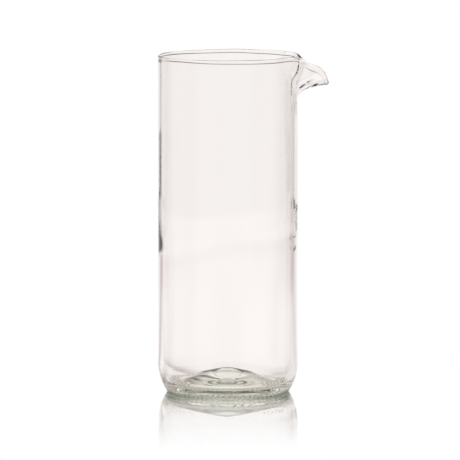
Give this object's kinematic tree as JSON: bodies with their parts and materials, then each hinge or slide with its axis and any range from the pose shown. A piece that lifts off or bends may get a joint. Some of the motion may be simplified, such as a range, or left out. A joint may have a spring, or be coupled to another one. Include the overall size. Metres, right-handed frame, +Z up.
{
  "type": "mixing glass",
  "caption": "Tall straight clear glass mixing vessel with a polished rim, a deep pulled pouring spout and a thick pushed-up base.",
  "frame": {"origin": "on the surface it stands on, under the middle of the glass and its spout together", "axes": "+Z up, +X from the vessel towards the spout's tip, +Y across"},
  "size_m": [0.0922, 0.076, 0.184],
  "materials": {
    "clear_glass": "clear flint glass, fire-polished, faint green in the thick base"
  },
  "bodies": {
    "root": {"glass_body": "clear_glass"}
  },
  "joints": []
}
